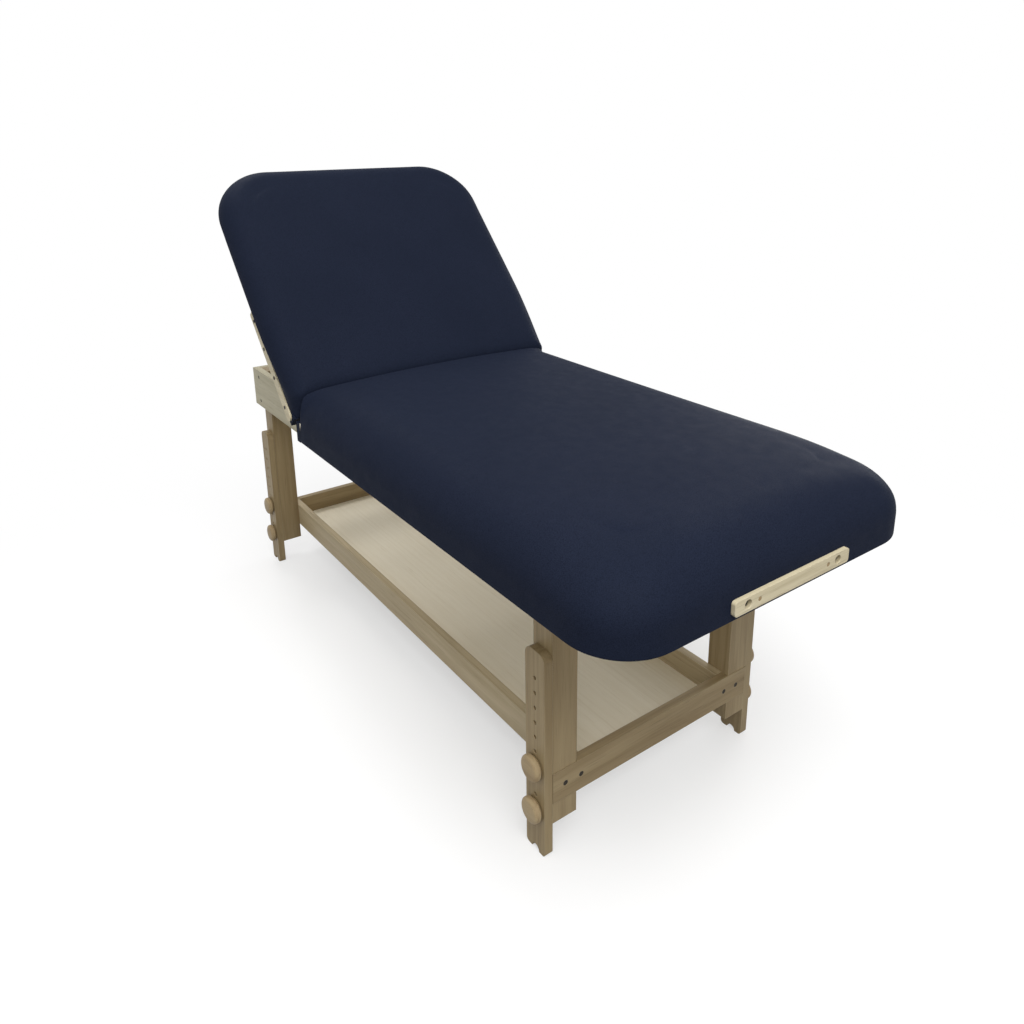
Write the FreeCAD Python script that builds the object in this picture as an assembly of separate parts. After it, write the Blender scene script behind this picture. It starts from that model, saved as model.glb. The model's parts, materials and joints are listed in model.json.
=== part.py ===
import FreeCAD, Part

import math
import os
from collections import namedtuple

# Stationary massage table with a lift-back top, four adjustable wooden legs and a storage tray.
# Millimetres. +X points to the foot end, +Y to the right as seen from the foot end, +Z up.
# Pieces are laid out about the middle of the base and moved at the end, so that the origin
# is on the floor under the middle of the whole table.

# Driving dimensions of the upholstered top
cushion_width = 762.0          # 30 in
backrest_length = 724.0
foot_end_x = 1007.0            # foot end of the vinyl, from the middle of the base
top_height = 728.5             # level of the cushion along its edges
foam_thickness = 80.0
deck_thickness = 10.0
main_skirt_height = 40.0       # wrapped edge below the deck
backrest_skirt_height = 24.0
vinyl_thickness = 1.2
crown = 8.0                    # rise of the foam at the middle of the width
crest_room = 1.0               # the side view is drawn this much above the crest
form_overrun = 150.0           # by which the views are drawn past each other
main_edge_radius = 74.0        # rolled top edges
backrest_edge_radius = 50.0
hinge_edge_radius = 22.0       # where the foam ends face each other across the hinge
main_corner_radius = 108.0     # rounded corners at the outer end, seen from above
backrest_corner_radius = 140.0
layer_gap = 0.2                # between the vinyl and what it wraps

# Driving dimensions of the base
board = 19.0                   # 3/4 in planed board
leg_width = 57.0
leg_centre_x = 700.0
post_inner_y = 213.5
post_bottom = 70.0
rail_height = 115.0
extension_length = 439.0
tray_bottom = 114.5
tray_rail_height = 67.5
slide_gap = 0.3                # between a leg extension and its post
fit_gap = 0.1                  # around screws and rods that are fixed
overcut = 1.0                  # by which a cutting tool runs past the face that it opens

# Lift-back hinge, and the angle at which the backrest stands
rest_angle = 47.5
highest_angle = 60.0
hinge_x = -160.5
hinge_lift = 1.5               # axis of the hinge above the decks
knuckle_radius = 4.5
hinge_pin_radius = 2.0
running_gap = 0.05             # around a turning pin
main_bevel = 15.0              # lean of the foam ends that face each other across the hinge
backrest_bevel = 46.0
main_hinge_gap = 9.0           # from the hinge axis to the vinyl of each section
backrest_hinge_gap = 2.0
hinge_rail_setback = 8.0       # from the hinge axis to the cross rail under it

# Leg adjustment
hole_pitch = 31.75             # 1 1/4 in
first_hole = 96.3
hole_count = 10
knob_holes = (0, 3)            # the holes of a leg that carry its two knobs
hole_radius = 4.3
bolt_radius = 4.0
knob_radius = 26.0
knob_thickness = 18.0
knob_rounds = ((0.8, 0.0, 0.0), (1.0, 0.3, 2.5), (1.0, 0.72, 5.0), (0.82, 0.92, 8.0))
# Each of these rounds: share of the radius, share of the thickness, radius of the round itself
knob_gap = 0.5                 # between a knob and its leg board
arch_radius = 11.0             # arch between the two toes of a leg board
toe_corner_radius = 8.0
leg_top_corner_radius = 18.0

# Support prop under the backrest
prop_reach = 240.0             # from hinge to prop pivot, and the length of the prop itself
prop_drop = 32.0               # prop pivot below the hinge axis, with the backrest flat
prop_bar_radius = 8.0
notch_angles = (15, 25, 33, 40, rest_angle, 53, 58)

# Outlets for the pegs of a face rest
outlet_spacing = 230.0
outlet_radius = 8.2
outlet_bar_thickness = 8.0

# Derived levels and planes
half_width = cushion_width / 2
deck_top = top_height - foam_thickness
rail_top = deck_top - deck_thickness
rail_bottom = rail_top - rail_height
skirt_bottom = rail_top - main_skirt_height
backrest_skirt_bottom = rail_top - backrest_skirt_height
post_outer_y = post_inner_y + leg_width
rail_outer_y = post_outer_y + board
leg_outer_x = leg_centre_x + leg_width / 2
leg_inner_x = leg_centre_x - leg_width / 2
base_end_x = leg_outer_x + board
tray_top = tray_bottom + tray_rail_height
hinge_z = deck_top + hinge_lift
wrap = vinyl_thickness + layer_gap
batten_inner_y = half_width - wrap - board
table_end_x = foot_end_x + outlet_bar_thickness
origin_x = (table_end_x - base_end_x) / 2

Y_AXIS = FreeCAD.Vector(0, 1, 0)
HINGE = FreeCAD.Vector(hinge_x, 0, hinge_z)
PROP_PIVOT_FLAT = FreeCAD.Vector(hinge_x - prop_reach, 0, hinge_z - prop_drop)

os.makedirs("parts", exist_ok=True)


# Shape helpers

def block(x0, x1, y0, y1, z0, z1):
    """A box between two corners."""
    return Part.makeBox(x1 - x0, y1 - y0, z1 - z0, FreeCAD.Vector(x0, y0, z0))


def rod(axis, radius, start, length):
    """A cylinder from a start point along X, Y or Z."""
    direction = {"x": FreeCAD.Vector(1, 0, 0), "y": Y_AXIS, "z": FreeCAD.Vector(0, 0, 1)}[axis]
    return Part.makeCylinder(radius, length, FreeCAD.Vector(*start), direction)


def joined(shapes):
    """One solid from shapes that touch or overlap."""
    first, *others = shapes
    return first.fuse(others).removeSplitter()


def without(shape, cutters):
    """A shape with the cutters taken away."""
    return shape.cut(cutters) if cutters else shape


def corner_arc(before, corner, after, radius):
    """The start, middle and end of the round that replaces one corner of an outline."""
    to_before = (before - corner).normalize()
    to_after = (after - corner).normalize()
    half = to_before.getAngle(to_after) / 2
    bisector = (to_before + to_after).normalize()
    reach = radius / math.tan(half)
    centre = corner + bisector * (radius / math.sin(half))
    return corner + to_before * reach, centre - bisector * radius, corner + to_after * reach


def outline_face(points, place):
    """A face inside straight runs with rounded corners; points are (u, v, corner radius)."""
    corners = [place(u, v) for u, v, _ in points]
    edges = []
    ends = []
    for index, (_, _, radius) in enumerate(points):
        corner = corners[index]
        if radius > 0:
            after = corners[(index + 1) % len(points)]
            start, middle, end = corner_arc(corners[index - 1], corner, after, radius)
            edges.append(Part.Arc(start, middle, end).toShape())
        else:
            start = end = corner
        ends.append((start, end))
    for index, (_, end) in enumerate(ends):
        following = ends[(index + 1) % len(ends)][0]
        if end.distanceToPoint(following) > 1e-6:
            edges.append(Part.makeLine(end, following))
    return Part.Face(Part.Wire(Part.__sortEdges__(edges)))


def on_xz(y):
    """Places (u, v) on an upright plane along the table."""
    return lambda u, v: FreeCAD.Vector(u, y, v)


def on_xy(z):
    """Places (u, v) on a level plane."""
    return lambda u, v: FreeCAD.Vector(u, v, z)


def board_xz(points, y0, y1):
    """A board cut to an outline along the table, between two faces across it."""
    return outline_face(points, on_xz(y0)).extrude(FreeCAD.Vector(0, y1 - y0, 0))


def mirrored_y(shape):
    """The same piece on the left side."""
    return shape.mirror(FreeCAD.Vector(0, 0, 0), Y_AXIS)


def mirrored_x(shape):
    """The same piece at the head end."""
    return shape.mirror(FreeCAD.Vector(0, 0, 0), FreeCAD.Vector(1, 0, 0))


def raised(shape):
    """A piece of the backrest, modelled flat, turned up to the angle at which it stands."""
    turned = shape.copy()
    turned.rotate(HINGE, Y_AXIS, rest_angle)
    return turned


def save(name, shape):
    """Moves a finished piece to the table's own origin and writes it."""
    placed = shape.copy()
    placed.translate(FreeCAD.Vector(-origin_x, 0, 0))
    placed.exportStep(f"parts/{name}.step")


def save_pair(name, right_shape):
    """Writes a piece of the right side and its twin on the left."""
    save(f"{name}_right", right_shape)
    save(f"{name}_left", mirrored_y(right_shape))


# Screws and bolts

def fastener(axis, start, length, shank_radius, head_radius, head_height):
    """A screw whose head begins at the start point; a negative length points it backwards."""
    shift = {"x": (1, 0, 0), "y": (0, 1, 0), "z": (0, 0, 1)}[axis]
    sign = math.copysign(1, length)
    tip = [a + b * length for a, b in zip(start, shift)]
    head_end = [a - b * sign * head_height for a, b in zip(start, shift)]
    shank_start = start if sign > 0 else tip
    head_start = head_end if sign > 0 else start
    return joined([rod(axis, shank_radius, shank_start, abs(length)),
                   rod(axis, head_radius, head_start, head_height)])


# Upholstered sections. Each runs from the hinge to its outer end along side = +1 (foot) or -1 (head).

Section = namedtuple("Section", "side gap bevel length edge_radius corner_radius skirt_bottom")
main_section = Section(1, main_hinge_gap, main_bevel, foot_end_x - hinge_x,
                       main_edge_radius, main_corner_radius, skirt_bottom)
backrest_section = Section(-1, backrest_hinge_gap, backrest_bevel, backrest_length,
                           backrest_edge_radius, backrest_corner_radius, backrest_skirt_bottom)


def plan_prism(section, hinge_gap, inset, z0, z1):
    """The level outline of a section, with large round corners at its outer end, between two levels."""
    near = hinge_x + section.side * (hinge_gap + inset)
    far = hinge_x + section.side * (section.length - inset)
    edge = half_width - inset
    corner = section.corner_radius - inset
    face = outline_face([(near, -edge, 0), (far, -edge, corner), (far, edge, corner), (near, edge, 0)], on_xy(z0))
    return face.extrude(FreeCAD.Vector(0, 0, z1 - z0))


def crown_prism(section, inset, bottom):
    """The end view of a section, with its crowned top, drawn past its sides and ends."""
    edge = half_width + form_overrun
    top = top_height - inset
    start_x = min(hinge_x, hinge_x + section.side * section.length) - 2 * form_overrun

    def at(y, z):
        return FreeCAD.Vector(start_x, y, z)

    edges = [Part.makeLine(at(-edge, bottom), at(edge, bottom)),
             Part.makeLine(at(edge, bottom), at(edge, top)),
             Part.Arc(at(edge, top), at(0, top + crown), at(-edge, top)).toShape(),
             Part.makeLine(at(-edge, top), at(-edge, bottom))]
    return Part.Face(Part.Wire(edges)).extrude(FreeCAD.Vector(section.length + 4 * form_overrun, 0, 0))


def hinge_end_prism(section, inset, bottom):
    """The side view of a section with its leaning foam at the hinge, drawn past the outer end and the crown."""
    peak = top_height + crown + crest_room - inset
    lean = (peak - deck_top) * math.tan(math.radians(section.bevel))
    near = section.gap + inset
    far = section.length + form_overrun
    local = [(near, bottom - form_overrun, 0), (far, bottom - form_overrun, 0), (far, peak, 0),
             (near + lean, peak, hinge_edge_radius - inset), (near, deck_top, 0)]
    points = [(hinge_x + section.side * s, z, r) for s, z, r in local]
    return board_xz(points, -half_width - form_overrun, half_width + form_overrun)


def pad_form(section, inset, bottom):
    """The outer form of a section, drawn in by an inset, with its top edges rolled round the corners."""
    outline = plan_prism(section, -form_overrun, inset, bottom, top_height + 2 * crown)
    form = outline.common(crown_prism(section, inset, bottom))
    open_end = hinge_x + section.side * (inset - form_overrun)
    outer_edges = [edge for edge in form.Edges
                   if edge.BoundBox.ZMin > top_height - section.edge_radius
                   and abs(edge.CenterOfMass.x - open_end) > form_overrun / 2]
    rolled = form.makeFillet(section.edge_radius - inset, outer_edges)
    return rolled.common(hinge_end_prism(section, inset, bottom))


def section_pieces(section, underside):
    """Deck, edge frame, foam and vinyl cover of one section, lying flat."""
    deck_gap = max(knuckle_radius + 2 * knuckle_room, section.gap + wrap)
    deck = plan_prism(section, deck_gap - wrap, wrap, underside, deck_top)
    frame_bottom = section.skirt_bottom + vinyl_thickness
    below = section.skirt_bottom - overcut
    frame = plan_prism(section, section.gap, wrap, frame_bottom, underside)
    hollow = plan_prism(section, section.gap - 2 * board, wrap + board, frame_bottom, underside)
    way_in = block(hinge_x - 2 * board, hinge_x + 2 * board, -batten_inner_y, batten_inner_y, below, underside)
    foam = pad_form(section, wrap, deck_top)
    hinge_room = rod("y", knuckle_radius + knuckle_room, (hinge_x, -half_width, hinge_z), cushion_width)
    room_x = leaf_width + leaf_room_sides
    room_y = leaf_half_length + leaf_room_sides
    leaf_room = block(hinge_x - room_x, hinge_x + room_x, -room_y, room_y,
                      deck_top, deck_top + leaf_thickness + leaf_room_above)
    cover = pad_form(section, 0, section.skirt_bottom).cut(pad_form(section, vinyl_thickness, below))
    return {
        "deck": deck,
        "edge_frame": frame.cut([hollow, way_in]),
        "foam": foam.cut([hinge_room, leaf_room]),
        "cover": cover.cut([way_in, hinge_room, leaf_room]),
    }


# Hinge along the joint of the two decks

knuckle_count = 11
knuckle_length = 60.0
knuckle_gap = 0.4
leaf_width = 40.0
leaf_thickness = 1.5
leaf_half_length = knuckle_count * knuckle_length / 2
leaf_room_sides = 5.0          # hollow in the foam around the leaves and their screws
leaf_room_above = 2.0
knuckle_room = 0.5
leaf_screw_y = (-275.0, -165.0, -55.0, 55.0, 165.0, 275.0)
leaf_screw_reach = 26.0
leaf_screw = {"shank_radius": 2.0, "head_radius": 4.0, "head_height": 1.2}


def hinge_leaf(side, first):
    """One leaf of the hinge with every second knuckle, beginning with the given one."""
    inner = hinge_x + side * (knuckle_radius + knuckle_room)
    outer = hinge_x + side * leaf_width
    plate = block(min(inner, outer), max(inner, outer), -leaf_half_length, leaf_half_length,
                  deck_top, deck_top + leaf_thickness)
    solids = [plate]
    for index in range(first, knuckle_count, 2):
        start = index * knuckle_length - leaf_half_length + knuckle_gap / 2
        length = knuckle_length - knuckle_gap
        solids.append(rod("y", knuckle_radius, (hinge_x, start, hinge_z), length))
        solids.append(block(min(hinge_x, inner), max(hinge_x, inner), start, start + length,
                            deck_top, deck_top + leaf_thickness))
    return without(joined(solids), [hinge_pin(running_gap)])


def hinge_pin(gap):
    """The pin of the hinge, or with a gap the bore that turns on it."""
    start = (hinge_x, -leaf_half_length, hinge_z)
    return rod("y", hinge_pin_radius + gap, start, 2 * leaf_half_length)


def leaf_screws(side):
    """Flat-headed screws that hold one leaf to its deck."""
    x = hinge_x + side * leaf_screw_reach
    start_z = deck_top + leaf_thickness
    return [fastener("z", (x, y, start_z), -deck_thickness, **leaf_screw) for y in leaf_screw_y]


def leaf_screw_holes(side):
    """The holes of those screws, through leaf and deck."""
    x = hinge_x + side * leaf_screw_reach
    radius = leaf_screw["shank_radius"] + fit_gap
    return [rod("z", radius, (x, y, rail_top), deck_thickness + leaf_thickness) for y in leaf_screw_y]


# Legs, drawn at the foot end on the right

slot_top = first_hole + max(knob_holes) * hole_pitch + bolt_radius + slide_gap
channel_depth = 7.0
channel_half_width = 7.5
head_half_width = 7.0
head_thickness = 6.0
head_y = post_outer_y - board
thread_depth = 0.7 * knob_thickness


def bolt_levels():
    """The heights of a leg's two clamp bolts."""
    return [first_hole + index * hole_pitch for index in knob_holes]


def leg_post():
    """A laminated post with a slot for the clamp bolts and a seat for the tray's end rail."""
    post = block(leg_inner_x, leg_outer_x, post_inner_y, post_outer_y, post_bottom, rail_top)
    narrow = bolt_radius + slide_gap
    below = post_bottom - overcut
    slot = block(leg_centre_x - narrow, leg_centre_x + narrow, head_y, post_outer_y + overcut, below, slot_top)
    channel_top = slot_top + head_half_width - bolt_radius
    channel = block(leg_centre_x - channel_half_width, leg_centre_x + channel_half_width,
                    head_y - channel_depth, head_y, below, channel_top)
    seat = block(tray_end_inner, leg_outer_x + overcut, post_inner_y - overcut, post_outer_y + overcut,
                 tray_bottom, tray_top)
    return without(post, [slot, channel, seat] + frame_bolt_holes + tray_bolt_holes)


def leg_extension():
    """The sliding leg board: round top corners, row of holes, two toes with an arch between."""
    outline = [(leg_inner_x, 0, toe_corner_radius), (leg_outer_x, 0, toe_corner_radius),
               (leg_outer_x, extension_length, leg_top_corner_radius),
               (leg_inner_x, extension_length, leg_top_corner_radius)]
    inner_y = post_outer_y + slide_gap
    plank = board_xz(outline, inner_y, inner_y + board)
    start_y, depth = inner_y - overcut, board + 2 * overcut
    arch = rod("y", arch_radius, (leg_centre_x, start_y, 0), depth)
    holes = [rod("y", hole_radius, (leg_centre_x, start_y, first_hole + index * hole_pitch), depth)
             for index in range(hole_count)]
    return without(plank, [arch] + holes)


def clamp_bolts():
    """The two T-headed bolts of a leg: heads in the post's channel, threads in the knobs."""
    bolts = []
    thread_end = post_outer_y + slide_gap + board + thread_depth
    for z in bolt_levels():
        head = block(leg_centre_x - head_half_width, leg_centre_x + head_half_width,
                     head_y - head_thickness, head_y - slide_gap, z - head_half_width, z + head_half_width)
        start_y = head_y - head_thickness
        shank = rod("y", bolt_radius, (leg_centre_x, start_y, z), thread_end - start_y)
        bolts.append(joined([head, shank]))
    return Part.makeCompound(bolts)


def knob(z):
    """A turned wooden knob with a domed face, on one clamp bolt."""
    back = post_outer_y + slide_gap + board + knob_gap
    rim = [(wide * knob_radius, high * knob_thickness, r) for wide, high, r in knob_rounds]
    profile = [(0, 0, 0)] + rim + [(0, knob_thickness, 0)]
    half = outline_face(profile, lambda radius, y: FreeCAD.Vector(leg_centre_x + radius, back + y, z))
    body = half.revolve(FreeCAD.Vector(leg_centre_x, back, z), Y_AXIS, 360)
    thread = rod("y", bolt_radius + running_gap, (leg_centre_x, back - overcut, z), thread_depth + overcut + knob_gap)
    return body.cut(thread)


# Storage tray

end_rail_stand_out = 1.0       # of the end rails, out of the posts that they are let into
tray_end_inner = leg_outer_x + end_rail_stand_out - board
tray_side_inner_y = post_inner_y - board
floor_thickness = 6.0
floor_lift = 6.0               # of the floor panel above the lower edge of the tray
floor_bottom = tray_bottom + floor_lift
groove_depth = 6.0


def floor_panel(extra):
    """The tray floor, or with a little extra the grooves that it sits in."""
    reach_x = tray_end_inner + groove_depth + extra
    reach_y = tray_side_inner_y + groove_depth + extra
    return block(-reach_x, reach_x, -reach_y, reach_y,
                 floor_bottom - extra, floor_bottom + floor_thickness + extra)


def tray_side_rail():
    """The right side of the tray, on the inner faces of the posts."""
    rail = block(-tray_end_inner, tray_end_inner, tray_side_inner_y, post_inner_y, tray_bottom, tray_top)
    return without(rail, [floor_panel(fit_gap)] + tray_bolt_holes)


def tray_end_rail():
    """The end of the tray, let into the posts and running between the two leg extensions."""
    reach_y = post_outer_y - slide_gap
    rail = block(tray_end_inner, tray_end_inner + board, -reach_y, reach_y, tray_bottom, tray_top)
    left_bolt_holes = [mirrored_y(hole) for hole in tray_bolt_holes]
    return without(rail, [floor_panel(fit_gap)] + tray_bolt_holes + left_bolt_holes)


# Fasteners of the base, drawn for the foot end on the right

frame_bolt_levels = (rail_top - 21.5, rail_top - 96.5)
end_bolt_levels = (rail_top - 45.0, rail_top - 75.0)
end_bolt_y = post_inner_y + leg_width / 2
tray_bolt_z = (tray_bottom + tray_top) / 2
tray_bolt_inset = 7.5
tray_bolt_spacing = 38.5
tray_bolt_y = (tray_side_inner_y + tray_bolt_inset, tray_side_inner_y + tray_bolt_inset + tray_bolt_spacing)
bolt_shank = 3.0
bolt_head = 5.5
bolt_sink = 4.0
bolt_head_height = 3.5
side_bolt_length = 56.0
end_bolt_length = 34.0
tray_bolt_length = 38.0


def sunk_bolt(axis, face_point, length, gap):
    """A bolt let into a face so that its head ends just below it, or with a gap its stepped hole."""
    sunk = {"x": (bolt_sink, 0, 0), "y": (0, bolt_sink, 0)}[axis]
    start = [a - b for a, b in zip(face_point, sunk)]
    head_height = bolt_sink + overcut if gap else bolt_head_height
    return fastener(axis, start, -length, bolt_shank + gap, bolt_head + gap, head_height)


def base_bolts(gap):
    """The bolts of one corner of the upper frame, or with a gap the holes that take them."""
    side = [sunk_bolt("y", (leg_centre_x, rail_outer_y, z), side_bolt_length, gap) for z in frame_bolt_levels]
    end = [sunk_bolt("x", (base_end_x, end_bolt_y, z), end_bolt_length, gap) for z in end_bolt_levels]
    return side + end


def tray_end_bolts(gap):
    """The two bolts at one corner of the tray, or with a gap their holes."""
    face_x = tray_end_inner + board
    return [sunk_bolt("x", (face_x, y, tray_bolt_z), tray_bolt_length, gap) for y in tray_bolt_y]


def at_four_corners(solids):
    """Copies of a corner's fasteners at all four corners, as one group."""
    right = solids + [mirrored_x(solid) for solid in solids]
    return Part.makeCompound(right + [mirrored_y(solid) for solid in right])


frame_bolt_holes = base_bolts(fit_gap)
tray_bolt_holes = tray_end_bolts(fit_gap)


# Upper frame of the base

def side_rail():
    """The right rail that carries the top, outside the posts."""
    rail = block(-base_end_x, base_end_x, post_outer_y, rail_outer_y, rail_bottom, rail_top)
    holes = frame_bolt_holes + [mirrored_x(hole) for hole in frame_bolt_holes]
    return without(rail, holes + rail_screw_holes)


def end_cross_rail():
    """The cross rail on the end faces of two posts."""
    rail = block(leg_outer_x, base_end_x, -post_outer_y, post_outer_y, rail_bottom, rail_top)
    return without(rail, frame_bolt_holes + [mirrored_y(hole) for hole in frame_bolt_holes])


def hinge_cross_rail():
    """The cross rail under the main deck's hinge edge."""
    start = hinge_x + hinge_rail_setback
    return block(start, start + board, -post_outer_y, post_outer_y, rail_bottom, rail_top)


deck_screw_x = (-100.0, 140.0, 380.0, 620.0)
deck_screw_y = (post_outer_y + rail_outer_y) / 2
deck_screw_length = 40.0
deck_screw_sink = 2.5
deck_screw_head_radius = 4.5
screw_radius = 2.2


def deck_screws(gap):
    """Screws through the main deck into the right rail, heads let into the deck, or their holes."""
    head_height = deck_screw_sink + overcut if gap else deck_screw_sink - layer_gap
    return [fastener("z", (x, deck_screw_y, deck_top - deck_screw_sink), -deck_screw_length - gap,
                     screw_radius + gap, deck_screw_head_radius + gap, head_height) for x in deck_screw_x]


rail_screw_holes = deck_screws(fit_gap)


# Support prop and its notched racks, drawn on the right

arm_inner_y = 225.0
arm_outer_y = arm_inner_y + board
arm_radius = 14.0
rack_inner_y = post_outer_y - board
prop_bar_half_length = rack_inner_y + 11.0
bracket_wall = 3.0
bracket_gap = 0.5
bracket_half_length = 28.0
ear_radius = 12.0
prop_pin_radius = 4.0
prop_pin_overhang = 1.5
bar_clearance = 1.0            # between the moving cross bar and the tips of the racks
notch_gap = 0.5
notch_depth = 8.0
rack_overrun = 14.0
rack_lift = 40.0               # lower edge of a rack above that of the rail
barely = 0.01                  # keeps two rounds on one edge from meeting in a point


def prop_bar_centre(angle):
    """The middle of the prop's cross bar with the backrest raised by an angle."""
    turn = math.radians(angle)
    x = hinge_x - 2 * prop_reach * math.cos(turn) - prop_drop * math.sin(turn)
    z = hinge_z - prop_drop * math.cos(turn)
    return FreeCAD.Vector(x, 0, z)


def propped(shape):
    """A piece of the prop, modelled flat, set under the raised backrest."""
    turned = shape.copy()
    turned.rotate(PROP_PIVOT_FLAT, Y_AXIS, -rest_angle)
    pivot = Part.Vertex(PROP_PIVOT_FLAT)
    pivot.rotate(HINGE, Y_AXIS, rest_angle)
    turned.translate(pivot.Point - PROP_PIVOT_FLAT)
    return turned


def prop_arm():
    """One arm of the prop, with round ends about its pivot and its cross bar."""
    x0 = PROP_PIVOT_FLAT.x - prop_reach - arm_radius
    x1 = PROP_PIVOT_FLAT.x + arm_radius
    z = PROP_PIVOT_FLAT.z
    z0, z1 = z - arm_radius, z + arm_radius
    r = arm_radius - barely
    outline = [(x0, z0, r), (x1, z0, r), (x1, z1, r), (x0, z1, r)]
    start_y, depth = arm_inner_y - overcut, board + 2 * overcut
    pivot_hole = rod("y", prop_pin_radius + running_gap, (PROP_PIVOT_FLAT.x, start_y, z), depth)
    bar_hole = rod("y", prop_bar_radius + fit_gap, (PROP_PIVOT_FLAT.x - prop_reach, start_y, z), depth)
    return without(board_xz(outline, arm_inner_y, arm_outer_y), [pivot_hole, bar_hole])


def prop_bracket(underside):
    """A folded bracket under the backrest deck that holds the upper end of one arm."""
    x, z = PROP_PIVOT_FLAT.x, PROP_PIVOT_FLAT.z
    outer0 = arm_inner_y - bracket_gap - bracket_wall
    outer1 = arm_outer_y + bracket_gap + bracket_wall
    plate = block(x - bracket_half_length, x + bracket_half_length, outer0, outer1,
                  underside - bracket_wall, underside)
    x0, x1 = x - ear_radius, x + ear_radius
    r = ear_radius - barely
    ear_outline = [(x0, z - ear_radius, r), (x1, z - ear_radius, r), (x1, underside, 0), (x0, underside, 0)]
    ears = [board_xz(ear_outline, y, y + bracket_wall) for y in (outer0, outer1 - bracket_wall)]
    pin_hole = rod("y", prop_pin_radius + fit_gap, (x, outer0 - overcut, z), outer1 - outer0 + 2 * overcut)
    return without(joined([plate] + ears), [pin_hole])


def prop_pin():
    """The pivot pin of one arm, through both ears of its bracket."""
    reach = bracket_gap + bracket_wall + prop_pin_overhang
    start = (PROP_PIVOT_FLAT.x, arm_inner_y - reach, PROP_PIVOT_FLAT.z)
    return rod("y", prop_pin_radius, start, board + 2 * reach)


def notched_rack():
    """The rack inside the right rail, with rounded notches below the cross bar's path."""
    clearance = FreeCAD.Vector(0, rack_inner_y, -prop_bar_radius - bar_clearance)
    angles = (0, highest_angle / 2, highest_angle)
    low, middle, high = (prop_bar_centre(angle) + clearance for angle in angles)
    low_end = FreeCAD.Vector(low.x - rack_overrun, rack_inner_y, low.z)
    high_end = FreeCAD.Vector(high.x + rack_overrun, rack_inner_y, high.z)
    bottom = rail_bottom + rack_lift
    foot_low = FreeCAD.Vector(low_end.x, rack_inner_y, bottom)
    foot_high = FreeCAD.Vector(high_end.x, rack_inner_y, bottom)
    edges = [Part.makeLine(low_end, low),
             Part.Arc(low, middle, high).toShape(),
             Part.makeLine(high, high_end),
             Part.makeLine(high_end, foot_high),
             Part.makeLine(foot_high, foot_low),
             Part.makeLine(foot_low, low_end)]
    rack = Part.Face(Part.Wire(edges)).extrude(FreeCAD.Vector(0, board, 0))
    notches = []
    for angle in notch_angles:
        centre = prop_bar_centre(angle)
        start = (centre.x, rack_inner_y - overcut, centre.z - notch_depth)
        notches.append(rod("y", prop_bar_radius + notch_gap, start, board + 2 * overcut))
    return without(rack, notches)


# Bars screwed on over the vinyl

side_bar_length = 324.0
side_bar_start = 10.0
side_bar_width = 26.0
side_bar_thickness = 5.0
side_bar_lift = 1.0            # of the bar above the lower edge of the backrest
side_bar_corner_radius = 4.0
side_bar_bolts_at = (38.0, 124.0, 210.0, 296.0)
side_bar_bolt_length = 25.0
side_bar_bolt_radius = 2.5
side_bar_head_radius = 4.5
side_bar_head_height = 1.5
side_bar_z = backrest_skirt_bottom + side_bar_lift + side_bar_width / 2
outlet_bar_corner_radius = 6.0
outlet_bar_half_length = 146.0
outlet_bar_bottom = 611.0
outlet_bar_height = 26.4
outlet_z = outlet_bar_bottom + outlet_bar_height / 2
outlet_block_depth = 38.0
outlet_screw_y = (-88.0, 88.0)
outlet_screw_length = 40.0
outlet_screw_head_radius = 4.0
outlet_screw_head_height = 1.5


def side_bar():
    """The bar along the right edge of the backrest, round at its hinge end, lying flat."""
    x1 = hinge_x - side_bar_start
    x0 = x1 - side_bar_length
    z0 = side_bar_z - side_bar_width / 2
    z1 = side_bar_z + side_bar_width / 2
    square = side_bar_corner_radius
    full = side_bar_width / 2 - barely
    outline = [(x0, z0, square), (x1, z0, full), (x1, z1, full), (x0, z1, square)]
    return without(board_xz(outline, half_width, half_width + side_bar_thickness), side_bar_bolts(fit_gap))


def side_bar_bolts(gap):
    """The bolts through a side bar and the edge frame, or with a gap their holes."""
    x1 = hinge_x - side_bar_start
    face_y = half_width + side_bar_thickness
    return [fastener("y", (x1 - reach, face_y, side_bar_z), -side_bar_bolt_length, side_bar_bolt_radius + gap,
                     side_bar_head_radius, side_bar_head_height) for reach in side_bar_bolts_at]


def outlet_bores():
    """The two peg holes at the foot end, right through bar, vinyl, edge frame and block."""
    start_x = foot_end_x - wrap - board - outlet_block_depth - overcut
    length = table_end_x - start_x + overcut
    half = outlet_spacing / 2
    return [rod("x", outlet_radius, (start_x, y, outlet_z), length) for y in (-half, half)]


def outlet_screws(gap):
    """The screws that hold the outlet bar, or with a gap their holes."""
    head_x = table_end_x - outlet_screw_head_height
    return [fastener("x", (head_x, y, outlet_z), -outlet_screw_length,
                     screw_radius + gap, outlet_screw_head_radius + gap, outlet_screw_head_height + gap)
            for y in outlet_screw_y]


def outlet_bar():
    """The bar at the foot end with the two peg holes."""
    z0, z1 = outlet_bar_bottom, outlet_bar_bottom + outlet_bar_height
    reach = outlet_bar_half_length
    r = outlet_bar_corner_radius
    points = [(-reach, z0, r), (reach, z0, r), (reach, z1, r), (-reach, z1, r)]
    face = outline_face(points, lambda y, z: FreeCAD.Vector(foot_end_x, y, z))
    bar = face.extrude(FreeCAD.Vector(outlet_bar_thickness, 0, 0))
    return without(bar, outlet_bores() + outlet_screws(fit_gap))


def outlet_block():
    """The block behind the edge frame that steadies the pegs."""
    x1 = foot_end_x - wrap - board
    body = block(x1 - outlet_block_depth, x1, -outlet_bar_half_length, outlet_bar_half_length,
                 skirt_bottom + vinyl_thickness, rail_top)
    return without(body, outlet_bores() + outlet_screws(fit_gap))


# Build and write every piece

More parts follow.
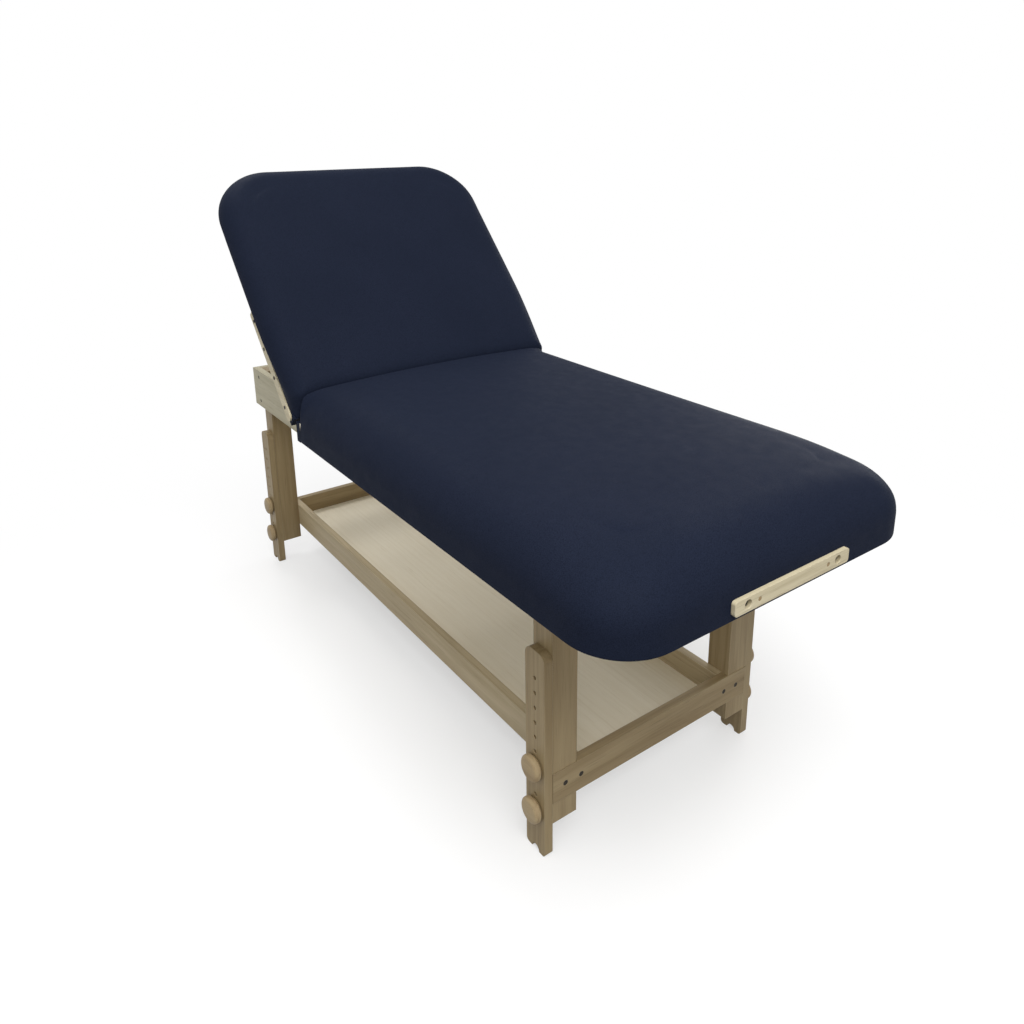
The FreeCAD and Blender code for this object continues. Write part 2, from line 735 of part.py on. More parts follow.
def build_base():
    """Upper frame, posts and tray."""
    save_pair("side_rail", side_rail())
    foot_rail = end_cross_rail()
    save("foot_cross_rail", foot_rail)
    save("head_cross_rail", mirrored_x(foot_rail))
    save("hinge_cross_rail", hinge_cross_rail())
    save("frame_bolts", at_four_corners(base_bolts(0)))
    save_pair("tray_side_rail", without(tray_side_rail(), [mirrored_x(hole) for hole in tray_bolt_holes]))
    foot_tray_rail = tray_end_rail()
    save("tray_end_rail_foot", foot_tray_rail)
    save("tray_end_rail_head", mirrored_x(foot_tray_rail))
    save("tray_floor", floor_panel(0))
    save("tray_bolts", at_four_corners(tray_end_bolts(0)))


def build_legs():
    """Post, extension, clamp bolts and knobs of the four legs."""
    lower, upper = bolt_levels()
    leg = {"leg_post": leg_post(), "leg_extension": leg_extension(), "clamp_bolts": clamp_bolts(),
           "knob_lower": knob(lower), "knob_upper": knob(upper)}
    for name, shape in leg.items():
        save_pair(f"{name}_foot", shape)
        save_pair(f"{name}_head", mirrored_x(shape))


def build_main_section():
    """The fixed part of the top, its half of the hinge and the face-rest outlets."""
    pieces = section_pieces(main_section, rail_top)
    screws = deck_screws(0)
    all_screws = screws + [mirrored_y(screw) for screw in screws] + leaf_screws(1)
    leaf_holes = leaf_screw_holes(1)
    deck_holes = rail_screw_holes + [mirrored_y(hole) for hole in rail_screw_holes]
    peg_holes = outlet_bores() + outlet_screws(fit_gap)
    save("main_deck", without(pieces["deck"], deck_holes + leaf_holes))
    save("main_edge_frame", without(pieces["edge_frame"], peg_holes))
    save("main_foam", pieces["foam"])
    save("main_cover", without(pieces["cover"], peg_holes))
    save("main_deck_screws", Part.makeCompound(all_screws))
    save("hinge_leaf_main", without(hinge_leaf(1, 0), leaf_holes))
    save("hinge_pin", hinge_pin(0))
    save("outlet_bar", outlet_bar())
    save("outlet_block", outlet_block())
    save("outlet_screws", Part.makeCompound(outlet_screws(0)))


def build_backrest():
    """The lift-back section with its half of the hinge, side bars and prop brackets."""
    underside = rail_top + slide_gap
    pieces = section_pieces(backrest_section, underside)
    bolt_holes = side_bar_bolts(fit_gap)
    bolt_holes = bolt_holes + [mirrored_y(hole) for hole in bolt_holes]
    leaf_holes = leaf_screw_holes(-1)
    bolts = side_bar_bolts(0)
    pin = prop_pin()
    save("backrest_deck", raised(without(pieces["deck"], leaf_holes)))
    save("backrest_edge_frame", raised(without(pieces["edge_frame"], bolt_holes)))
    save("backrest_foam", raised(pieces["foam"]))
    save("backrest_cover", raised(without(pieces["cover"], bolt_holes)))
    save("hinge_leaf_backrest", raised(without(hinge_leaf(-1, 1), leaf_holes)))
    save("backrest_hinge_screws", raised(Part.makeCompound(leaf_screws(-1))))
    save_pair("side_bar", raised(side_bar()))
    save("side_bar_bolts", raised(Part.makeCompound(bolts + [mirrored_y(bolt) for bolt in bolts])))
    save_pair("prop_bracket", raised(prop_bracket(underside)))
    save("prop_pins", raised(Part.makeCompound([pin, mirrored_y(pin)])))


def build_prop():
    """The prop that holds the backrest up, and the racks that its cross bar drops into."""
    bar_start = (PROP_PIVOT_FLAT.x - prop_reach, -prop_bar_half_length, PROP_PIVOT_FLAT.z)
    bar = rod("y", prop_bar_radius, bar_start, 2 * prop_bar_half_length)
    save_pair("prop_arm", propped(prop_arm()))
    save("prop_cross_bar", propped(bar))
    save_pair("notched_rack", notched_rack())


build_base()
build_legs()
build_main_section()
build_backrest()
build_prop()
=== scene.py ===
import itertools
import json
import math
from collections import namedtuple

import bpy
from mathutils import Matrix, Vector


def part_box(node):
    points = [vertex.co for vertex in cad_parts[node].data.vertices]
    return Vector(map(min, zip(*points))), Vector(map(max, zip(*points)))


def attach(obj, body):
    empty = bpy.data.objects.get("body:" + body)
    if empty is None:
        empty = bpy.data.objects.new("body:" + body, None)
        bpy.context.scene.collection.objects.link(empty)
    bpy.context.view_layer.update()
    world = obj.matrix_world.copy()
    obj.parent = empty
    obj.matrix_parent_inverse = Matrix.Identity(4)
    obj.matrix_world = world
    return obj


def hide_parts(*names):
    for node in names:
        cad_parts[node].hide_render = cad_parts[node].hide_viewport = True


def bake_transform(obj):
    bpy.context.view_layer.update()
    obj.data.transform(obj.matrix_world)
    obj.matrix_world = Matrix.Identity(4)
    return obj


# The looks of a stationary massage table, built around its frame.
# Metres. +X points to the foot end, +Y to the right as seen from the foot end, +Z up.

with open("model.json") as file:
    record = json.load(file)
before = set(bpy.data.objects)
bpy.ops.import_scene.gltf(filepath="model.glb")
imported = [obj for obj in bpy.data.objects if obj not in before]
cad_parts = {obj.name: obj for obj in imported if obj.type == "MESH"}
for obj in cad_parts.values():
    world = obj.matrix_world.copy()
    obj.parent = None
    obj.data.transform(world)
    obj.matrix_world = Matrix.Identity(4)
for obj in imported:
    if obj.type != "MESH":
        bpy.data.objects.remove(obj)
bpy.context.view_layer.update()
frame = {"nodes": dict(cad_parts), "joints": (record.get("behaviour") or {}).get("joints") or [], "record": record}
nodes = frame["nodes"]

# Camera, with its optical axis in the photograph's 1024 pixel frame
camera_place = (1.5807, -1.0458, 1.3209)
camera_yaw = 0.9563            # radians, from +Y towards -X
camera_pitch = -0.2796
camera_roll = -0.0139
camera_reach = 60.0            # beyond which it sees nothing
focal_pixels = 821.3
axis_row = 370.0
frame_pixels = 1024.0
sensor_width = 36.0            # millimetres

# Form of a cushion: rounds of its top edges, of the edge at the crease and of its outer corners,
# the fall of the top towards those corners, and how far its sides swell out over the edge frame
Form = namedtuple("Form", "edge_radius hinge_radius corner_radius corner_drop swell")
main_form = Form(edge_radius=0.085, hinge_radius=0.028, corner_radius=0.108,
                 corner_drop=0.016, swell=0.0)
backrest_form = Form(edge_radius=0.052, hinge_radius=0.045, corner_radius=0.140,
                     corner_drop=0.0, swell=0.021)

# Sizes of the upholstery that both cushions share
foam_thickness = 0.080
hinge_corner_radius = 0.014
inner_corner_share = 0.6       # of a corner's radius, kept by the rows inside it
crown = 0.012                  # rise of the middle over the edges
crown_run_out = 0.30           # over which the crown fades towards the outer end
corner_reach = 0.22            # over which the corners fall
swell_run = 0.26               # from the hinge, over which the sides swell
crease_gap = 0.001
main_lean = math.radians(15.0)
wrap_gap = 0.0013              # inner face of the vinyl, inside its outer face
frame_clearance = 0.0001
tuck = 0.018                   # vinyl folded under the edge frame
hem_radius = 0.003
tab_width = 0.020              # of the vinyl that closes the wrapped edges at the hinge
outlet_cut = 0.05              # length of the cut behind a hole of the outlet bar
outlet_sides = 32

# Vinyl folded round the hinge end of a deck: (on from its end, up from the deck's underside or top)
main_fold = ((wrap_gap, 0.0008), (0.0012, 0.0006), (0.0010, 0.0004), (0.0006, 0.0004),
             (0.0002, 0.0008), (0.0, 0.0020))                              # from the underside
backrest_end = 0.0047          # of the flat backrest's vinyl, from the hinge axis
backrest_inside = ((0.0028, frame_clearance), (0.0008, -0.0010))           # from the top
backrest_fold = ((0.0007, 0.0010), (0.0003, 0.0008), (0.0, 0.0014))        # from the underside
backrest_heel = ((0.0005, 0.0), (0.0003, 0.0040))                          # from the top
face_start = ((0.0015, 0.0030),)           # from the lower end of the face at the crease

# Rows and quads of the cushions' meshes
inner_run = 0.030              # between the rounded edge and the grid of the top
cell = 0.0125                  # size of the quads
side_row_count = 7
arc_row_count = 7
inner_row_count = 3

# Simulation of the padding
sim_frames = 20
cover_cloth = dict(quality=5, mass=0.4, air_damping=6.0, tension_stiffness=20, compression_stiffness=20,
                   shear_stiffness=10, bending_stiffness=3, use_pressure=True, uniform_pressure_force=2.0)
sim_cap = 0.004                # limit of the way that a point of the cover may move
ease_passes = 24               # by which the ways of neighbouring points are evened out
held_height = 0.012            # over the deck, up to which the cover is held
held_fade = 0.03               # over which the hold fades out

# Colours, in the usual 0 to 255 values
vinyl_tone = (31, 37, 53)
vinyl_bloom = (35, 41, 58)
# painted shade: the colour of the hollows between the vinyl's pebbles
vinyl_groove_shade = (23, 28, 41)
steel_tones = ((196, 197, 194), (168, 167, 160))
brass_tones = ((168, 146, 108), (134, 114, 82))
oxide_tones = ((34, 31, 27), (66, 56, 44))
# The last tone of each wood is a painted highlight, laid along the eased edges of the boards
Wood = namedtuple("Wood", "pale dark pore worn")
woods = {
    "washed_wood": Wood((158, 140, 106), (132, 113, 81), (88, 72, 49), (192, 177, 146)),
    # painted light: a lighter copy of the washed wood, for the sides of the tray
    "lit_washed_wood": Wood((188, 172, 140), (165, 148, 115), (104, 88, 62), (218, 206, 180)),
    "pale_maple": Wood((209, 199, 170), (191, 179, 148), (140, 125, 94), (224, 217, 196)),
    # painted shade: a darker copy of the pale maple, for the side rails, the rack and the cross rails
    "shaded_maple": Wood((186, 179, 152), (169, 161, 133), (116, 104, 80), (214, 206, 184)),
    "birch_plywood": Wood((244, 236, 216), (238, 229, 207), (218, 206, 180), (246, 240, 224)),
    "turned_wood": Wood((172, 153, 119), (149, 128, 96), (108, 90, 62), (186, 168, 136)),
}

# Grain and edges of the boards
grain_stretch = 0.06           # scale of the pattern along the grain, against that across it
fibre_stretch = 0.02
fibre_shift = (0.31, 0.17, 0.53)
brush_stretch = 0.03           # the same for brushed metal
wood_roughness = (0.41, 0.55)
board_ease = 0.0018            # radius by which the edges of the boards are eased
edge_cosines = (0.98, 0.78)    # between the eased and the plain normal, from the face to the edge
# share of the painted edge highlight at the very edge
edge_highlight_share = 0.5

# Finish of each node by the start of its name, where the longest start that fits counts.
# Wood comes with the axis of its grain.
board_finishes = {
    "leg_": ("washed_wood", "z"),
    "tray_side": ("lit_washed_wood", "x"),
    "tray_end": ("washed_wood", "y"),
    "tray_floor": ("birch_plywood", "x"),
    "knob_": ("turned_wood", "x"),
    "side_rail": ("shaded_maple", "x"),
    "side_bar": ("pale_maple", "x"),
    "notched_rack": ("shaded_maple", "x"),
    "prop_arm": ("pale_maple", "z"),
    "main_edge": ("pale_maple", "x"),
    "backrest_edge": ("pale_maple", "x"),
    "head_cross": ("shaded_maple", "y"),
    "foot_cross": ("shaded_maple", "y"),
    "hinge_cross": ("shaded_maple", "y"),
    "outlet_bar": ("pale_maple", "y"),
    "outlet_block": ("pale_maple", "y"),
    "main_deck": ("birch_plywood", "x"),
    "backrest_deck": ("birch_plywood", "x"),
}
metal_finishes = {
    "hinge_leaf": "plated_steel",
    "hinge_pin": "plated_steel",
    "prop_cross": "plated_steel",
    "prop_bracket": "plated_steel",
    "prop_pins": "plated_steel",
    "clamp_bolts": "dark_steel",
    "frame_bolts": "dark_steel",
    "tray_bolts": "dark_steel",
    "side_bar_bolts": "dark_steel",
    "main_deck_screws": "dark_steel",
    "backrest_hinge_screws": "dark_steel",
    "outlet_screws": "brass_plated_steel",
}

# The floor turns into the white background between two distances from the middle
floor_radius = 14.0
floor_sides = 96
floor_near = 0.6
floor_far = 1.9
near_share = 0.5
white = (1, 1, 1, 1)
floor_white = (0.95, 0.95, 0.95, 1)
floor_bounce = (0.28, 0.28, 0.28, 1)     # the floor as the object's undersides see it

# Light: the share of white from all sides, and softboxes
world_light = 0.42
Lamp = namedtuple("Lamp", "place target size power")
table_middle = (0.0, 0.0, 0.6)
lamps = {
    "overhead": Lamp((0.4, 0.3, 4.2), table_middle, size=3.2, power=20),
    "front": Lamp((2.2, -1.0, 3.8), table_middle, size=2.6, power=140),
    "low_front": Lamp((3.2, -1.0, 1.0), (0.5, 0.0, 0.2), size=1.6, power=12),
    "low_left": Lamp((-0.4, -3.2, 1.1), (0.0, 0.0, 0.15), size=1.8, power=11),
    "low_right": Lamp((-0.8, 3.2, 1.2), (0.2, 0.0, 0.1), size=1.8, power=30),
    "head": Lamp((-1.9, -0.2, 2.6), (-0.5, 0.0, 0.1), size=0.6, power=16),
}

# Places read from the frame
lift = next(joint for joint in frame["joints"] if joint["name"] == "backrest_lift")
hinge = Vector(lift["pos_m"])
rest_angle = math.radians(-lift["range_deg"][0])
main_low, main_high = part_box("main_cover")
main_start = abs(main_low.x - hinge.x)
half_width = main_high.y
deck_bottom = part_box("main_deck")[0].z
deck_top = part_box("main_deck")[1].z
top_height = deck_top + foam_thickness
outlet_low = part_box("outlet_bar")[0]


def flat_turn():
    """The turn that lays the raised backrest flat."""
    turn = Matrix.Rotation(-rest_angle, 4, "Y")
    return Matrix.Translation(hinge) @ turn @ Matrix.Translation(-hinge)


def flat_box(name):
    """The corners of a backrest node with the backrest lying flat."""
    turn = flat_turn()
    points = [turn @ vertex.co for vertex in nodes[name].data.vertices]
    low = Vector(min(point[axis] for point in points) for axis in range(3))
    high = Vector(max(point[axis] for point in points) for axis in range(3))
    return low, high


# Camera

def make_camera():
    """A camera at the photograph's viewing angle."""
    data = bpy.data.cameras.new("camera")
    data.sensor_width = sensor_width
    data.lens = focal_pixels / frame_pixels * sensor_width
    data.shift_y = axis_row / frame_pixels - 0.5
    data.clip_end = camera_reach
    level = Vector((-math.sin(camera_yaw), math.cos(camera_yaw), 0))
    level_right = Vector((math.cos(camera_yaw), math.sin(camera_yaw), 0))
    vertical = Vector((0, 0, 1))
    forward = level * math.cos(camera_pitch) + vertical * math.sin(camera_pitch)
    steep = vertical * math.cos(camera_pitch) - level * math.sin(camera_pitch)
    right = level_right * math.cos(camera_roll) + steep * math.sin(camera_roll)
    up = steep * math.cos(camera_roll) - level_right * math.sin(camera_roll)
    turn = Matrix((right, up, -forward)).transposed().to_4x4()
    camera = bpy.data.objects.new("camera", data)
    camera.matrix_world = Matrix.Translation(camera_place) @ turn
    bpy.context.scene.collection.objects.link(camera)
    bpy.context.scene.camera = camera


# Material helpers

def linear(colour):
    """A colour in the usual 0 to 255 values, as linear light."""
    shares = [value / 255 for value in colour]
    light = [share / 12.92 if share <= 0.04045 else ((share + 0.055) / 1.055) ** 2.4 for share in shares]
    return (*light, 1.0)


def stretched(axis, scale):
    """A scale along one axis, and 1 along the others."""
    return tuple(scale if letter == axis else 1 for letter in "xyz")


class Tree:
    """A node tree with short ways to add and link its nodes."""

    def __init__(self, tree):
        self.tree = tree

    def node(self, kind, **values):
        """A node with attributes, or input values where the name is an input."""
        made = self.tree.nodes.new(kind)
        for key, value in values.items():
            if key in made.inputs:
                made.inputs[key].default_value = value
            else:
                setattr(made, key, value)
        return made

    def link(self, out, into):
        """A link from an output to an input."""
        self.tree.links.new(out, into)

    def feed(self, socket, value):
        """An input linked to an output, or set to a constant."""
        if isinstance(value, bpy.types.NodeSocket):
            self.link(value, socket)
        else:
            socket.default_value = value

    def add(self, first, second, operation="ADD"):
        """Two numbers added, or joined by another operation; each is a constant or an output."""
        made = self.node("ShaderNodeMath", operation=operation)
        self.feed(made.inputs[0], first)
        self.feed(made.inputs[1], second)
        return made.outputs[0]

    def seen(self):
        """1 for what the camera sees, also by way of metal or glass, and 0 for the light on the object."""
        path = self.node("ShaderNodeLightPath")
        share = path.outputs["Is Camera Ray"]
        for name in ("Is Glossy Ray", "Is Transmission Ray"):
            share = self.add(share, path.outputs[name], "MAXIMUM")
        return share

    def show(self, share, first, second, output):
        """Two shaders mixed by a share, as the tree's result."""
        mix = self.node("ShaderNodeMixShader")
        for socket, value in zip(mix.inputs, (share, first, second)):
            self.link(value, socket)
        self.link(mix.outputs[0], self.tree.nodes[output].inputs["Surface"])


class Shader(Tree):
    """The nodes of a new material."""

    def __init__(self, name):
        self.material = bpy.data.materials.new(name)
        self.material.use_nodes = True
        super().__init__(self.material.node_tree)
        self.surface = self.tree.nodes["Principled BSDF"]

    def place(self, scale=(1, 1, 1), shift=(0, 0, 0)):
        """The place on the object, in metres, stretched by a scale."""
        coordinates = self.node("ShaderNodeTexCoord")
        mapping = self.node("ShaderNodeMapping", Scale=scale, Location=shift)
        self.link(coordinates.outputs["Object"], mapping.inputs["Vector"])
        return mapping.outputs["Vector"]

    def noise(self, place, scale, detail=4.0, roughness=0.55, distortion=0.0):
        """A cloudy value between 0 and 1."""
        made = self.node("ShaderNodeTexNoise", Scale=scale, Detail=detail, Roughness=roughness,
                         Distortion=distortion)
        self.link(place, made.inputs["Vector"])
        return made.outputs["Fac"]

    def ramp(self, value, span, onto=(0.0, 1.0)):
        """A value moved from one range to another and kept inside it."""
        made = self.node("ShaderNodeMapRange")
        for key, number in zip(("From Min", "From Max", "To Min", "To Max"), (*span, *onto)):
            made.inputs[key].default_value = number
        self.link(value, made.inputs["Value"])
        return made.outputs["Result"]

    def mix(self, share, first, second):
        """Two colours mixed by a share; each is a constant or an output."""
        made = self.node("ShaderNodeMix", data_type="RGBA")
        colour_inputs = made.inputs[6:8]
        self.feed(made.inputs[0], share)
        for socket, value in zip(colour_inputs, (first, second)):
            self.feed(socket, value)
        return made.outputs[2]

    def eased(self, radius):
        """The normal of a surface with its edges eased by a radius, and the share of an edge there."""
        round_edge = self.node("ShaderNodeBevel", samples=4, Radius=radius)
        flat = self.node("ShaderNodeNewGeometry")
        same = self.node("ShaderNodeVectorMath", operation="DOT_PRODUCT")
        self.link(round_edge.outputs["Normal"], same.inputs[0])
        self.link(flat.outputs["Normal"], same.inputs[1])
        return round_edge.outputs["Normal"], self.ramp(same.outputs["Value"], edge_cosines)

    def bump(self, height, distance, strength, normal=None):
        """Relief of the surface, on top of a normal where one is given."""
        made = self.node("ShaderNodeBump", Distance=distance, Strength=strength)
        self.link(height, made.inputs["Height"])
        if normal:
            self.link(normal, made.inputs["Normal"])
        self.link(made.outputs["Normal"], self.surface.inputs["Normal"])

    def set(self, **values):
        """Links or constants for the surface; an underscore stands for a blank."""
        for key, value in values.items():
            self.feed(self.surface.inputs[key.replace("_", " ")], value)


# Materials

def make_vinyl():
    """Soft navy vinyl with a fine pebbled grain, painted shade in the hollows between its pebbles, and a faint
    unevenness.
    """
    shader = Shader("navy_vinyl")
    place = shader.place()
    pebbles = shader.node("ShaderNodeTexVoronoi", feature="SMOOTH_F1", Scale=720.0, Smoothness=0.6)
    shader.link(place, pebbles.inputs["Vector"])
    depth = pebbles.outputs["Distance"]
    pores = shader.noise(place, scale=2400.0, detail=2.0)
    clouds = shader.noise(place, scale=5.0, detail=3.0)
    rubbed = shader.noise(place, scale=38.0, detail=5.0)
    tone = shader.mix(shader.ramp(clouds, (0.3, 0.7)), linear(vinyl_tone), linear(vinyl_bloom))
    # painted shade, darker towards the hollows of the grain
    tone = shader.mix(shader.ramp(depth, (0.0, 0.75)), tone, linear(vinyl_groove_shade))
    roughness = shader.ramp(rubbed, (0.25, 0.75), onto=(0.54, 0.66))
    shader.set(Base_Color=tone, Roughness=roughness, Specular_IOR_Level=0.02)
    height = shader.add(shader.ramp(depth, (0.0, 0.8), onto=(1.0, 0.0)),
                        shader.ramp(pores, (0.3, 0.7), onto=(0.0, 0.25)))
    shader.bump(height, distance=0.00016, strength=0.8)
    return shader.material


def make_wood(name, axis):
    """Planed wood whose grain runs along one axis: broad streaks, year bands and fine pores, with a painted
    highlight on its eased edges.
    """
    pale, dark, pore, edge_highlight = (linear(tone) for tone in woods[name])
    shader = Shader(f"{name}_{axis}")
    grain = shader.place(stretched(axis, grain_stretch))
    fibres = shader.place(stretched(axis, fibre_stretch), fibre_shift)
    streaks = shader.noise(grain, scale=26.0, detail=5.0, distortion=0.8)
    bands = shader.node("ShaderNodeTexWave", wave_type="BANDS", bands_direction="Y" if axis == "x" else "X",
                        Scale=17.0, Distortion=9.0, Detail=3.0)
    bands.inputs["Detail Scale"].default_value = 1.6
    shader.link(grain, bands.inputs["Vector"])
    pores = shader.noise(fibres, scale=640.0, detail=2.0, roughness=0.6)
    flecks = shader.noise(fibres, scale=190.0, detail=3.0)
    share = shader.add(shader.ramp(streaks, (0.3, 0.72), onto=(0.0, 0.62)),
                       shader.ramp(bands.outputs["Fac"], (0.2, 1.0), onto=(0.0, 0.38)))
    tone = shader.mix(share, pale, dark)
    tone = shader.mix(shader.ramp(flecks, (0.55, 0.8), onto=(0.0, 0.35)), tone, pore)
    tone = shader.mix(shader.ramp(pores, (0.6, 0.75), onto=(0.0, 0.6)), tone, pore)
    normal, edge = shader.eased(board_ease)
    # painted highlight: the eased edges lightened towards the last tone
    tone = shader.mix(shader.add(edge, edge_highlight_share, "MULTIPLY"), tone, edge_highlight)
    roughness = shader.ramp(streaks, (0.2, 0.8), onto=wood_roughness)
    shader.set(Base_Color=tone, Roughness=roughness, Specular_IOR_Level=0.22)
    height = shader.add(shader.ramp(pores, (0.5, 0.8), onto=(1.0, 0.0)),
                        shader.ramp(flecks, (0.3, 0.8), onto=(0.3, 0.0)))
    shader.bump(height, distance=0.00012, strength=0.7, normal=normal)
    return shader.material


def make_plated(name, pale, dull):
    """Plated steel, finely brushed, dull in places."""
    shader = Shader(name)
    lines = shader.noise(shader.place(stretched("y", brush_stretch)), scale=900.0, detail=2.0)
    stains = shader.noise(shader.place(), scale=45.0)
    tone = shader.mix(shader.ramp(stains, (0.3, 0.7)), linear(pale), linear(dull))
    shader.set(Base_Color=tone, Metallic=1.0, Roughness=shader.ramp(lines, (0.2, 0.8), onto=(0.27, 0.44)))
    shader.bump(lines, distance=0.00004, strength=0.5)
    return shader.material


def make_oxide(name, black, brown):
    """Steel in black oxide, rubbed brown in places."""
    shader = Shader(name)
    rubbed = shader.noise(shader.place(), scale=260.0)
    tone = shader.mix(shader.ramp(rubbed, (0.4, 0.75)), linear(black), linear(brown))
    shader.set(Base_Color=tone, Metallic=0.85, Roughness=shader.ramp(rubbed, (0.3, 0.7), onto=(0.38, 0.55)))
    shader.bump(rubbed, distance=0.00005, strength=0.5)
    return shader.material


def paint_frame():
    """A finish for every node of the frame that the cushions don't replace."""
    made = {
        "plated_steel": make_plated("plated_steel", *steel_tones),
        "brass_plated_steel": make_plated("brass_plated_steel", *brass_tones),
        "dark_steel": make_oxide("dark_steel", *oxide_tones),
    }
    for wood in board_finishes.values():
        if wood not in made:
            made[wood] = make_wood(*wood)
    finishes = {**board_finishes, **metal_finishes}
    for name, node in nodes.items():
        starts = [start for start in finishes if name.startswith(start)]
        if starts:
            node.data.materials.clear()
            node.data.materials.append(made[finishes[max(starts, key=len)]])


# Cushions. Each is laid out flat, with s measured from the hinge axis to its outer end.

def clamped(share):
    """A share kept between 0 and 1."""
    return min(max(share, 0.0), 1.0)


def smooth(share):
    """An even step from 0 to 1."""
    share = clamped(share)
    return share * share * (3 - 2 * share)


class Pad:
    """The form of one cushion, as rings of points from under the foam round the edge to the top."""

    def __init__(self, side, length, start, lean, foot, form, skirt_bottom, frame_bottom):
        self.side = side                # +1 runs to the foot end, -1 to the head end
        self.length = length
        self.start = start              # s of the hinge-end face at the level of the deck
        self.lean = lean                # of that face
        self.foot = foot                # (s, z) points of the hinge end below the face
        self.form = form
        self.skirt_bottom = skirt_bottom
        self.frame_bottom = frame_bottom
        self.count_s = round((length - start) / cell)
        self.count_y = round(2 * half_width / cell)
        self.corner_cells = {"hinge": 1, "outer": round(math.pi / 4 * form.corner_radius / cell)}

    def edge_rows(self):
        """(inset, z, share of the swell) along the edge of the sides and the outer end."""
        under = deck_top + frame_clearance
        radius = self.form.edge_radius
        hem = self.skirt_bottom
        hem_round = hem_radius / 4      # in from the hem's corner to the middle of its round
        fold = self.frame_bottom - frame_clearance
        skirt = [(radius + inner_run, under), (wrap_gap, under), (wrap_gap, fold), (tuck, fold),
                 (tuck, hem + frame_clearance), (hem_radius, hem), (hem_round, hem + hem_round),
                 (0, hem + hem_radius)]
        rows = [(inset, z, 0.0) for inset, z in skirt]
        wall_top = top_height - radius
        wall_bottom = hem + hem_radius
        for row in range(1, side_row_count):
            z = wall_bottom + (wall_top - wall_bottom) * row / side_row_count
            rows.append((0, z, smooth((z - deck_bottom) / (wall_top - deck_bottom))))
        for row in range(arc_row_count + 1):
            angle = math.pi / 2 * row / arc_row_count
            rows.append((radius * (1 - math.cos(angle)), top_height - radius * (1 - math.sin(angle)), 1.0))
        for row in range(1, inner_row_count + 1):
            rows.append((radius + inner_run * row / inner_row_count, top_height, 1.0))
        return rows

    def hinge_rows(self):
        """(s, z) up the middle of the hinge end, as many as the edge has."""
        face_s, face_z = self.foot[-1]
        radius = self.form.hinge_radius
        centre_z = top_height - radius
        rise = centre_z - face_z
        centre_s = face_s + (radius + rise * math.sin(self.lean)) / math.cos(self.lean)
        arc = []
        for row in range(arc_row_count + 1):
            angle = self.lean + (math.pi / 2 - self.lean) * row / arc_row_count
            arc.append((centre_s - radius * math.cos(angle), centre_z + radius * math.sin(angle)))
        arc_s, arc_z = arc[0]
        wall = []
        wall_count = side_row_count - 1
        for row in range(wall_count):
            share = row / wall_count
            wall.append((face_s + (arc_s - face_s) * share, face_z + (arc_z - face_z) * share))
        inside = (self.start + self.form.edge_radius + inner_run, deck_top + frame_clearance)
        level = [(centre_s + inner_run * row / inner_row_count, top_height)
                 for row in range(1, inner_row_count + 1)]
        return [inside] + self.foot[:-1] + wall + arc + level

    def loop(self):
        """The cells round the edge of the grid, in order."""
        near = [(0, j) for j in range(self.count_y)]
        right = [(i, self.count_y) for i in range(self.count_s)]
        far = [(self.count_s, j) for j in range(self.count_y, 0, -1)]
        left = [(i, 0) for i in range(self.count_s, 0, -1)]
        return near + right + far + left

    def corner(self, at_hinge, edge):
        """The radius of a corner on a row whose sides lie at a distance from the middle."""
        radius = hinge_corner_radius if at_hinge else self.form.corner_radius
        return max(radius - (half_width - edge), inner_corner_share * radius)

    def ring_point(self, i, j, low, high, edge):
        """Where a cell of the loop lies on a rounded rectangle, and how much it belongs to the hinge end."""
        across = -1 if 2 * j < self.count_y else 1
        from_side = min(j, self.count_y - j)
        at_hinge = 2 * i < self.count_s
        from_end = i if at_hinge else self.count_s - i
        cells = self.corner_cells["hinge" if at_hinge else "outer"]
        radius = self.corner(at_hinge, edge)
        if from_side <= cells and from_end <= cells:
            turn = 0.5 + 0.5 * (from_end - from_side) / cells
            angle = math.pi / 2 * turn
            inward = radius * (1 - math.cos(angle))
            s = low + inward if at_hinge else high - inward
            y = across * (edge - radius * (1 - math.sin(angle)))
            return s, y, smooth(1 - turn) if at_hinge else 0.0
        if from_side == 0:
            first, last = self.corner_cells["hinge"], self.count_s - self.corner_cells["outer"]
            near = low + self.corner(True, edge)
            far = high - self.corner(False, edge)
            return near + (far - near) * (i - first) / (last - first), across * edge, 0.0
        reach = edge - radius
        share = (j - cells) / (self.count_y - 2 * cells)
        return low if at_hinge else high, -reach + 2 * reach * share, 1.0 if at_hinge else 0.0

    def crowned(self, s, y, z):
        """A level of the foam raised by the crown of the top and lowered towards the outer corners."""
        fade = smooth((self.length - s) / crown_run_out)
        rise = crown * (1 - (y / half_width) ** 2) * fade
        near_end = smooth(1 - (self.length - s) / corner_reach)
        near_side = smooth(1 - (half_width - abs(y)) / corner_reach)
        rise -= self.form.corner_drop * near_end * near_side
        return z + rise * clamped((z - deck_top) / foam_thickness)

    def rings(self):
        """The points of every ring."""
        made = []
        for (inset, edge_z, swell_share), (hinge_s, hinge_z) in zip(self.edge_rows(), self.hinge_rows()):
            out = self.form.swell * swell_share - inset
            ring = []
            for i, j in self.loop():
                plain = self.ring_point(i, j, hinge_s, self.length - inset, half_width - inset)
                full = self.ring_point(i, j, hinge_s, self.length + out, half_width + out)
                swollen = math.sin(math.pi / 2 * clamped((plain[0] - self.start) / swell_run))
                s = plain[0] + (full[0] - plain[0]) * swollen
                y = plain[1] + (full[1] - plain[1]) * swollen
                z = edge_z + (hinge_z - edge_z) * plain[2]
                ring.append((s, y, self.crowned(s, y, z)))
            made.append(ring)
        return made

